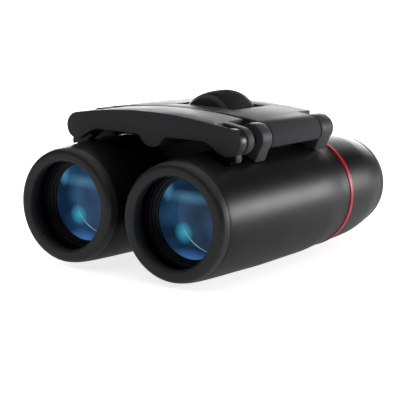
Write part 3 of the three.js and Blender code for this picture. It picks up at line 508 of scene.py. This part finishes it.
# ---------- bridge ----------
# One black ABS moulding: an arched deck between two round side tubes that carry the hinge rods. The
# deck has a slot for the focus wheel and a step at each rear corner for the rear lug, and a baffle
# hangs down at its front to keep light and dust out between the barrels.
DECK_RISE = 5.8
SIDE_TUBE_R = 4.06
HINGE_MM = HINGE_X / MM
HINGE_UP = (HINGE_Z - BARREL_Z) / MM
DECK_TOP = HINGE_UP + DECK_RISE


def arc(x, z, radius, start, end, count):
    """Points on a circle, in millimetres and degrees, from start to end."""
    turns = [math.radians(start + (end - start) * i / count) for i in range(count + 1)]
    return [(x + radius * math.cos(turn), z + radius * math.sin(turn)) for turn in turns]


def arched(end_radius, leave):
    """The arched top between two round ends, from the right end's underside to the left end's.
    Each end leaves into the underside leave degrees past its lowest point."""
    radius = (HINGE_MM ** 2 + DECK_RISE ** 2 - end_radius ** 2) / (2 * (DECK_RISE - end_radius))
    centre = DECK_TOP - radius
    half = math.degrees(math.atan2(HINGE_MM, HINGE_UP - centre))
    return [*arc(HINGE_MM, HINGE_UP, end_radius, -90 - leave, 90 - half, 20),
            *arc(0, centre, radius, 90 - half, 90 + half, 40)[1:-1],
            *arc(-HINGE_MM, HINGE_UP, end_radius, 90 + half, 270 + leave, 20)]


def extruded(name, outline, y0, y1):
    """An [x, z] outline in millimetres from the barrel axes' height, run from y0 to y1."""
    piece = drawn(name, [(x * MM, station(y0), BARREL_Z + z * MM) for x, z in outline])
    bpy.ops.mesh.edge_face_add()
    bpy.ops.mesh.extrude_region_move(TRANSFORM_OT_translate={"value": (0, (y1 - y0) * MM, 0)})
    bpy.ops.mesh.select_all(action="SELECT")
    bpy.ops.mesh.normals_make_consistent(inside=False)
    bpy.ops.object.mode_set(mode="OBJECT")
    return piece


def rod(x, z, radius, y0, y1, facets=48):
    """A round cutter along Y, in millimetres."""
    bpy.ops.object.select_all(action="DESELECT")
    bpy.ops.mesh.primitive_cylinder_add(
        vertices=facets, radius=radius * MM, depth=(y1 - y0) * MM,
        location=(x * MM, station((y0 + y1) / 2), BARREL_Z + z * MM), rotation=(math.pi / 2, 0, 0))
    bpy.ops.object.transform_apply(location=True, rotation=True, scale=True)
    return bpy.context.object


def joined(piece, added, operation="UNION"):
    """Joins one solid to a piece, or keeps only what both fill, and removes it."""
    applied(piece, "BOOLEAN", operation=operation, object=added, solver="EXACT")
    bpy.data.objects.remove(added)


def softened(piece, width, segments=3):
    """Rounds every sharp edge of a moulding, as its tool does."""
    applied(piece, "BEVEL", width=width * MM, segments=segments, limit_method="ANGLE",
            angle_limit=math.radians(35), use_clamp_overlap=False, miter_outer="MITER_ARC")
    return smoothed(piece, 40)


DRIVE_X = JOINTS["focus_turn"]["pos_m"][0] / MM
DRIVE_UP = (JOINTS["focus_turn"]["pos_m"][2] - BARREL_Z) / MM
BRIDGE_FRONT, BRIDGE_REAR = 28.5, 60.8
LUG_STEP = 54.1
ROD_BORE_R = 1.9
WHEEL_SLOT = (36.65, 53.05)
SLOT_HALF = 9.41
BAFFLE = (28.6, 30.4)
BAFFLE_HALF = 22.6
BAFFLE_BORE_R = 16.3

# The same ABS. The tool was left rougher at the sides, which gives a soft sheen on the deck and
# nearly none on the outer face of the side tubes.
BRIDGE_ABS = moulded_black("bridge_abs_matt_at_the_sides", "#3a3a3c", "#464648", 0.5, 0.46, 0.56)
place = node(BRIDGE_ABS, "ShaderNodeTexCoord")
axes = node(BRIDGE_ABS, "ShaderNodeSeparateXYZ", None, {"Vector": place.outputs["Object"]})
outward = node(BRIDGE_ABS, "ShaderNodeMath", {"operation": "ABSOLUTE"}, {"Value": axes.outputs["X"]})
matt = node(BRIDGE_ABS, "ShaderNodeMapRange",
            {"From Min": HINGE_X - MM, "From Max": HINGE_X + 2.4 * MM, "To Min": 0.5, "To Max": 0.85},
            {"Value": outward.outputs["Value"]})
BRIDGE_ABS.node_tree.links.new(
    matt.outputs["Result"], BRIDGE_ABS.node_tree.nodes["Principled BSDF"].inputs["Roughness"])
deck = extruded("arched_bridge", arched(SIDE_TUBE_R, -56.0), BRIDGE_FRONT, BRIDGE_REAR)
for side in (1, -1):
    outer = sorted((side * (HINGE_MM - 3.3), side * 40))
    under = sorted((side * 16.8, side * 40))
    cut_out(deck, block(outer, (LUG_STEP, 62), (0, DECK_TOP)))
    cut_out(deck, block(under, (LUG_STEP, 62), (0, HINGE_UP + 1.0)))
    cut_out(deck, rod(side * HINGE_MM, HINGE_UP, 4.5, LUG_STEP, 62))
    cut_out(deck, rod(side * HINGE_MM, HINGE_UP, ROD_BORE_R, 27, 62))
cut_out(deck, block((-11.3, 11.3), (30.5, 58.8), (0, DECK_TOP - 2.2)))
cut_out(deck, block((-16.09, 16.09), (30.2, 59.1), (0, 18.5)))
cut_out(deck, block((DRIVE_X - SLOT_HALF, DRIVE_X + SLOT_HALF), WHEEL_SLOT, (0, DECK_TOP + 2)))
baffle = extruded("baffle", [(-BAFFLE_HALF, 8), (BAFFLE_HALF, 8), (BAFFLE_HALF, 18.4), (-BAFFLE_HALF, 18.4)],
                  *BAFFLE)
for side in (1, -1):
    cut_out(baffle, rod(side * HALF_SPACING / MM, 0, BAFFLE_BORE_R, 28, 31, 144))
joined(deck, baffle)
softened(deck, 0.22)
give(deck, BRIDGE_ABS, "moulded_black", "bridge", "bridge_housing")


# ---------- front plate ----------
# The plate in front of the bridge slides in and out with the focus wheel and pulls both lens cells.
# It is moulded like the bridge, with a round knuckle over each hinge rod, where its front face leans
# back a little, and a lobe for the focus shaft.
KNUCKLE_R = 3.6
LOBE_R = 4.0
LOBE_FOOT = 5.2
PLATE_FRONT, PLATE_REAR = 12.55, 28.0
ARM_GAP = (13.85, 17.15)
REAR_STEP = 20.2
FACET_FROM, FACET_TURN = 19.6, math.radians(7)
under = HINGE_UP - 0.32
bend = HINGE_MM - 2 * KNUCKLE_R
lobe_out = LOBE_R * math.cos(math.radians(35))
lobe_up = DRIVE_UP - LOBE_R * math.sin(math.radians(35))
knuckle_in = HINGE_MM - KNUCKLE_R * math.sin(math.radians(30))
knuckle_up = HINGE_UP - KNUCKLE_R * math.cos(math.radians(30))


def swept(start, control, end, steps=8):
    """A quarter-turn fillet from start to end, bent by control."""
    a, b, c = Vector(start), Vector(control), Vector(end)
    return [tuple(a * (1 - t) ** 2 + b * 2 * t * (1 - t) + c * t * t) for t in
            (i / steps for i in range(1, steps + 1))]


plate_outline = [
    *arched(KNUCKLE_R, 30),
    *swept((-knuckle_in, knuckle_up), (-bend - KNUCKLE_R / 3, under), (-bend, under)),
    (DRIVE_X - LOBE_FOOT, under),
    *swept((DRIVE_X - LOBE_FOOT, under), (DRIVE_X - LOBE_R, under), (DRIVE_X - lobe_out, lobe_up)),
    *arc(DRIVE_X, DRIVE_UP, LOBE_R, 215, 325, 12)[1:],
    *swept((DRIVE_X + lobe_out, lobe_up), (DRIVE_X + LOBE_R, under), (DRIVE_X + LOBE_FOOT, under)),
    (bend, under),
    *swept((bend, under), (bend + KNUCKLE_R / 3, under), (knuckle_in, knuckle_up))[:-1],
]
plate = extruded("sliding_front_plate", plate_outline, PLATE_FRONT, PLATE_REAR)
for side in (1, -1):
    cut_out(plate, block(sorted((side * 20.15, side * 40)), ARM_GAP, (0, 40)))
    cut_out(plate, block(sorted((side * 19.45, side * 40)), (REAR_STEP, 29), (0, 40)))
    cut_out(plate, block(sorted((side * 16.95, side * 40)), (REAR_STEP, 29), (0, under)))
    cut_out(plate, rod(side * HINGE_MM, HINGE_UP, ROD_BORE_R, 13.8, 29))
cut_out(plate, rod(DRIVE_X, DRIVE_UP, 3.2, 20.1, 29))
for side in (1, -1):
    facet = block(sorted((side * FACET_FROM, side * 40)), (5, PLATE_FRONT), (0, 40))
    pivot = Matrix.Translation((side * FACET_FROM * MM, station(PLATE_FRONT), 0))
    facet.data.transform(pivot @ Matrix.Rotation(side * FACET_TURN, 4, "Z") @ pivot.inverted())
    cut_out(plate, facet)
softened(plate, 0.3)
give(plate, MOULDED, "moulded_black", "front_plate", "front_plate")


# ---------- lugs, rod caps and lens arms ----------
# Each barrel hangs from two moulded lugs that hook over the steel hinge rod and stand on the tube on
# a straight leg. Between the plate's cheeks an arm rides on the same rod and reaches down to the lens
# cell, and a turned cap closes the rear end of each rod.
LUG_R = 4.1
LEG = 3.8
LUGS = (("front", 23.4, 4.8), ("rear", 54.6, 6.6))
ARM_UP = HINGE_ARM / MM
ARM_EYE_R = 3.4
ARM_FOOT = (-2.2, 2.2)


def leaning(piece, side):
    """Moves a piece drawn straight above X = 0 onto its barrel, leaning with the hinge arm."""
    bpy.ops.object.mode_set(mode="OBJECT")
    piece.data.transform(Matrix.Translation((0, 0, -BARREL_Z)))
    piece.data.transform(Matrix.Rotation(side * FOLD, 4, "Y"))
    piece.data.transform(Matrix.Translation((side * HALF_SPACING, 0, BARREL_Z)))
    return piece


waist = math.degrees(math.asin(LEG / LUG_R))
for name, side in SIDES:
    for place_name, y0, width in LUGS:
        outline = [(-LEG, 10), (LEG, 10), *arc(0, ARM_UP, LUG_R, waist - 90, 270 - waist, 8)]
        hook = extruded(f"{name}_{place_name}_hook", outline, y0, y0 + width)
        cut_out(hook, rod(0, 0, BARREL_R + 0.04, y0 - 1, y0 + width + 1, 168))
        cut_out(hook, rod(0, ARM_UP, ROD_BORE_R, y0 - 1, y0 + width + 1))
        leaning(hook, side)
        softened(hook, 0.25)
        give(hook, MOULDED, "moulded_black", f"{name}_barrel", f"{name}_{place_name}_lug")
    low, high = ARM_FOOT
    arm_outline = [(low, 13.2), (high, 13.2), (high, 16.35), (3.5, 16.45), (3.5, 17.2), (2.9, 18.4),
                   *arc(0, ARM_UP, ARM_EYE_R, -20, 200, 28),
                   (-2.9, 18.4), (-3.5, 17.2), (-3.5, 16.45), (low, 16.35)]
    arm = extruded(f"{name}_lens_arm", arm_outline, 14.15, 16.85)
    cut_out(arm, rod(0, ARM_UP, ROD_BORE_R, 13, 18))
    foot_outline = [(low, 13.2), (high, 13.2), (high, 15.0), (low, 15.0)]
    joined(arm, extruded(f"{name}_lens_arm_foot", foot_outline, 16.6, 20.55))
    leaning(arm, side)
    softened(arm, 0.2)
    give(arm, ANODISED, "black_metal", f"{name}_objective", f"{name}_drive_arm")
    cap = turned(f"{name}_end_cap", eased([
        (61.5, 0), (61.5, 3.4, 0.15), (62.7, 3.4, 0.6), (62.7, 1.2, 0.2), (62.4, 1.0), (62.4, 0)],
        closed=False), side * HINGE_X, HINGE_Z, 48, closed=False)
    give(cap, ANODISED, "black_metal", "bridge", f"{name}_rod_cap")


# ---------- focus wheel ----------
# A moulded wheel with a bevelled nose turns in the deck's slot. Its rubber sleeve is crowned and has
# very fine ribs that run along it, half a millimetre apart, for one finger.
WHEEL_R = 8.81
RIB_CUT = 0.08
WHEEL_AXIS = (DRIVE_X * MM, BARREL_Z + DRIVE_UP * MM)
hub = turned("wheel_hub", eased([
    (37.25, 7.1, 0.3), (38.6, 8.1, 0.2), (38.6, 7.31), (52.45, 7.31), (52.45, 1.8, 0.15),
    (37.25, 1.8, 0.15)]), *WHEEL_AXIS, 120)
give(hub, MOULDED, "moulded_black", "focus_wheel", "focus_wheel")
GRIP_RIBS = 108
grip_outline = [(DRIVE_X + (WHEEL_R - RIB_CUT * (i % 4 > 1)) * math.cos(math.tau * i / GRIP_RIBS / 4),
                 DRIVE_UP + (WHEEL_R - RIB_CUT * (i % 4 > 1)) * math.sin(math.tau * i / GRIP_RIBS / 4))
                for i in range(4 * GRIP_RIBS)]
grip = extruded("wheel_sleeve", grip_outline, 38.85, 52.45)
crown = turned("crown", [
    (38.4, 0), (38.8, 8.0), (39.6, 8.3), (41.5, 8.6), (44, 8.78), (45, 9), (48, 9), (49, 8.76), (51, 8.4),
    (52.6, 7.7), (52.6, 0)], *WHEEL_AXIS, 144, closed=False)
joined(grip, crown, "INTERSECT")
cut_out(grip, rod(DRIVE_X, DRIVE_UP, 7.61, 38, 53, 96))
smoothed(grip)
give(grip, RUBBER, "rubber", "focus_wheel", "focus_wheel_grip")


# ---------- bottom cover, screws and rods ----------
# A flat cover closes the bridge from below, held by four small cross-head screws. The hinge rods and
# the focus shaft are ground steel, and the shaft turns in a brass nut in the front plate.

# Ground steel. It gives a bright grey with a blurred reflection. The grinding marks are drawn coarser
# than the real few hundredths of a millimetre, so that they show.
GRINDING_MARK = 0.5
STEEL = new_finish("ground_steel")
place = node(STEEL, "ShaderNodeTexCoord")
scratches = node(STEEL, "ShaderNodeTexNoise", {"Scale": 1000 / GRINDING_MARK, "Detail": 3.0},
                 {"Vector": place.outputs["Object"]})
gloss = node(STEEL, "ShaderNodeMapRange", {"To Min": 0.25, "To Max": 0.4},
             {"Value": scratches.outputs["Fac"]})
shader = node(STEEL, "ShaderNodeBsdfPrincipled", {"Base Color": colour("#9a9ca0"), "Metallic": 1.0},
              {"Roughness": gloss.outputs["Result"]})
node(STEEL, "ShaderNodeOutputMaterial", None, {"Surface": shader.outputs["BSDF"]})

# Turned brass. It gives a warm dull gold, with turning marks as coarse as the grinding marks.
BRASS = new_finish("turned_brass")
place = node(BRASS, "ShaderNodeTexCoord")
turning = node(BRASS, "ShaderNodeTexNoise", {"Scale": 1000 / GRINDING_MARK, "Detail": 3.0},
               {"Vector": place.outputs["Object"]})
gloss = node(BRASS, "ShaderNodeMapRange", {"To Min": 0.28, "To Max": 0.42},
             {"Value": turning.outputs["Fac"]})
shader = node(BRASS, "ShaderNodeBsdfPrincipled", {"Base Color": colour("#b8954e"), "Metallic": 1.0},
              {"Roughness": gloss.outputs["Result"]})
node(BRASS, "ShaderNodeOutputMaterial", None, {"Surface": shader.outputs["BSDF"]})

UNDERSIDE = HINGE_UP - 2.27
COVER_HALF = 14.39
COVER_TOP = UNDERSIDE + 1.1
screw_places = [(x, y) for y in (33.5, 55.8) for x in (-11.99, 11.99)]
cover = extruded("bridge_cover", [(-COVER_HALF, UNDERSIDE), (COVER_HALF, UNDERSIDE), (COVER_HALF, COVER_TOP),
                                  (-COVER_HALF, COVER_TOP)], 30.5, 58.8)
cut_out(cover, block((DRIVE_X - SLOT_HALF, DRIVE_X + SLOT_HALF), WHEEL_SLOT, (0, 40)))


def upright(x, y, radius, z0, z1, facets=32):
    """A round cutter or shank that stands upright, in millimetres."""
    bpy.ops.object.select_all(action="DESELECT")
    bpy.ops.mesh.primitive_cylinder_add(
        vertices=facets, radius=radius * MM, depth=(z1 - z0) * MM,
        location=(x * MM, station(y), BARREL_Z + (z0 + z1) / 2 * MM))
    bpy.ops.object.transform_apply(location=True, rotation=True, scale=True)
    return bpy.context.object


for x, y in screw_places:
    cut_out(cover, upright(x, y, 1.1, 0, 40))
    cut_out(cover, upright(x, y, 1.8, 0, UNDERSIDE + 0.65))
softened(cover, 0.12, 2)
give(cover, MOULDED, "moulded_black", "bridge", "bridge_bottom_cover")
for i, (x, y) in enumerate(screw_places):
    screw = upright(x, y, 1.5, UNDERSIDE, UNDERSIDE + 0.35)
    screw.name = screw.data.name = f"cross_head_screw_{i + 1}"
    joined(screw, upright(x, y, 0.8, UNDERSIDE + 0.2, UNDERSIDE + 3.4))
    for wide, long in ((0.15, 0.9), (0.9, 0.15)):
        cut_out(screw, block((x - wide, x + wide), (y - long, y + long), (UNDERSIDE - 1, UNDERSIDE + 0.22)))
    softened(screw, 0.05, 2)
    give(screw, STEEL, "steel", "bridge", f"cover_screw_{i + 1}")


# ---------- parts that stay as the CAD drew them ----------
# Rods, screws and the optics inside the barrels keep their CAD shape. They are hidden or nearly so,
# and only need the finish of their real metal or glass.

# Polished crown glass, ground for the prisms. It gives a clear, faintly green body with sharp glints.
POLISH_PATCH = 3
CLEAR = new_finish("clear_prism_glass")
place = node(CLEAR, "ShaderNodeTexCoord")
polish = node(CLEAR, "ShaderNodeTexNoise", {"Scale": 1000 / POLISH_PATCH, "Detail": 1.0},
              {"Vector": place.outputs["Object"]})
gloss = node(CLEAR, "ShaderNodeMapRange", {"To Min": 0.02, "To Max": 0.06},
             {"Value": polish.outputs["Fac"]})
shader = node(CLEAR, "ShaderNodeBsdfPrincipled",
              {"Base Color": colour("#c8d8dc"), "IOR": 1.57, "Transmission Weight": 0.9},
              {"Roughness": gloss.outputs["Result"]})
node(CLEAR, "ShaderNodeOutputMaterial", None, {"Surface": shader.outputs["BSDF"]})

# The eye lenses take the front lenses' glass, with its painted reflections and its glow.
KEPT = {"prism_holder": MOULDED, "penta_prism": CLEAR, "roof_prism": CLEAR, "field_stop": ANODISED,
        "ocular_tube": ANODISED, "field_lens": CLEAR, "eye_lens": BLUE_GLASS_PAINTED_GLOW_AND_REFLECTIONS, "screw": STEEL,
        "hinge_rod": STEEL, "focus_shaft": STEEL, "focus_nut": BRASS}
for name, part in frame["nodes"].items():
    for word, material in KEPT.items():
        if word in name and not part.hide_render:
            for used in part.material_slots:
                used.material = material


# ---------- studio ----------
# A plain pale floor that runs into a white surround. A small low softbox behind the right side makes
# the highlight along the barrel, a wide one behind the left side lights the top of the bridge, and a
# broad soft light comes from overhead. The floor glows a little, so that it stays white.
FLOOR = new_finish("pale_studio_floor")
seen = node(FLOOR, "ShaderNodeLightPath")
glow = node(FLOOR, "ShaderNodeMapRange", {"To Min": 0.25, "To Max": 0.8},
            {"Value": seen.outputs["Is Camera Ray"]})
shader = node(FLOOR, "ShaderNodeBsdfPrincipled",
              {"Base Color": colour("#f4f4f4"), "Roughness": 0.9, "Emission Color": colour("#ffffff")},
              {"Emission Strength": glow.outputs["Result"]})
node(FLOOR, "ShaderNodeOutputMaterial", None, {"Surface": shader.outputs["BSDF"]})
bpy.ops.object.select_all(action="DESELECT")
bpy.ops.mesh.primitive_plane_add(size=80, location=(0, 0, 0))
floor = bpy.context.object
floor.name = "studio_floor"
floor.data.materials.append(FLOOR)
floor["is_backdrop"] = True

world = bpy.data.worlds.new("white_surround")
bpy.context.scene.world = world
world.use_nodes = True
world.node_tree.nodes.clear()
seen = node(world, "ShaderNodeLightPath")
backdrop = node(world, "ShaderNodeBackground", {"Color": colour("#ffffff"), "Strength": 1.0})
ambient = node(world, "ShaderNodeBackground", {"Color": colour("#ffffff"), "Strength": 0.05})
either = node(world, "ShaderNodeMixShader", None, {"Fac": seen.outputs["Is Camera Ray"]})
world.node_tree.links.new(ambient.outputs["Background"], either.inputs[1])
world.node_tree.links.new(backdrop.outputs["Background"], either.inputs[2])
node(world, "ShaderNodeOutputWorld", None, {"Surface": either.outputs["Shader"]})


def softbox(name, place, aim, width, height, power):
    """An area light that faces aim, unseen by the camera."""
    data = bpy.data.lights.new(name, "AREA")
    data.shape = "RECTANGLE"
    data.size = width
    data.size_y = height
    data.energy = power
    lamp = bpy.data.objects.new(name, data)
    bpy.context.scene.collection.objects.link(lamp)
    lamp.location = place
    lamp.rotation_mode = "QUATERNION"
    lamp.rotation_quaternion = (Vector(aim) - Vector(place)).to_track_quat("-Z", "Y")
    lamp.visible_camera = False


softbox("side_softbox", (0.64, 0.77, 0.155), (0, 0, 0.02), 0.35, 0.24, 5.0)
softbox("rear_softbox", (-0.66, 0.88, 0.2), (0, 0, 0.02), 1.2, 0.36, 11)
sun_data = bpy.data.lights.new("overhead_light", "SUN")
sun_data.energy = 1.1
sun_data.angle = math.radians(100)
sun = bpy.data.objects.new("overhead_light", sun_data)
bpy.context.scene.collection.objects.link(sun)

eye = Vector((0.18323, -0.28746, 0.07510))
azimuth, elevation, roll = math.radians(34.404), math.radians(10.283), math.radians(1.738)
back = Vector((math.sin(azimuth) * math.cos(elevation), -math.cos(azimuth) * math.cos(elevation),
               math.sin(elevation)))
level = Vector((math.cos(azimuth), math.sin(azimuth), 0))
upward = back.cross(level)
across = level * math.cos(roll) + upward * math.sin(roll)
upward = upward * math.cos(roll) - level * math.sin(roll)
camera_data = bpy.data.cameras.new("camera")
camera_data.lens = 109.59
camera_data.sensor_width = 36
camera_data.shift_x = 0.0474
camera_data.clip_start = 0.01
camera = bpy.data.objects.new("camera", camera_data)
bpy.context.scene.collection.objects.link(camera)
camera.matrix_world = Matrix.Translation(eye) @ Matrix((across, upward, back)).transposed().to_4x4()
bpy.context.scene.camera = camera
bpy.context.scene.view_settings.view_transform = "Standard"

low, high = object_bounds()
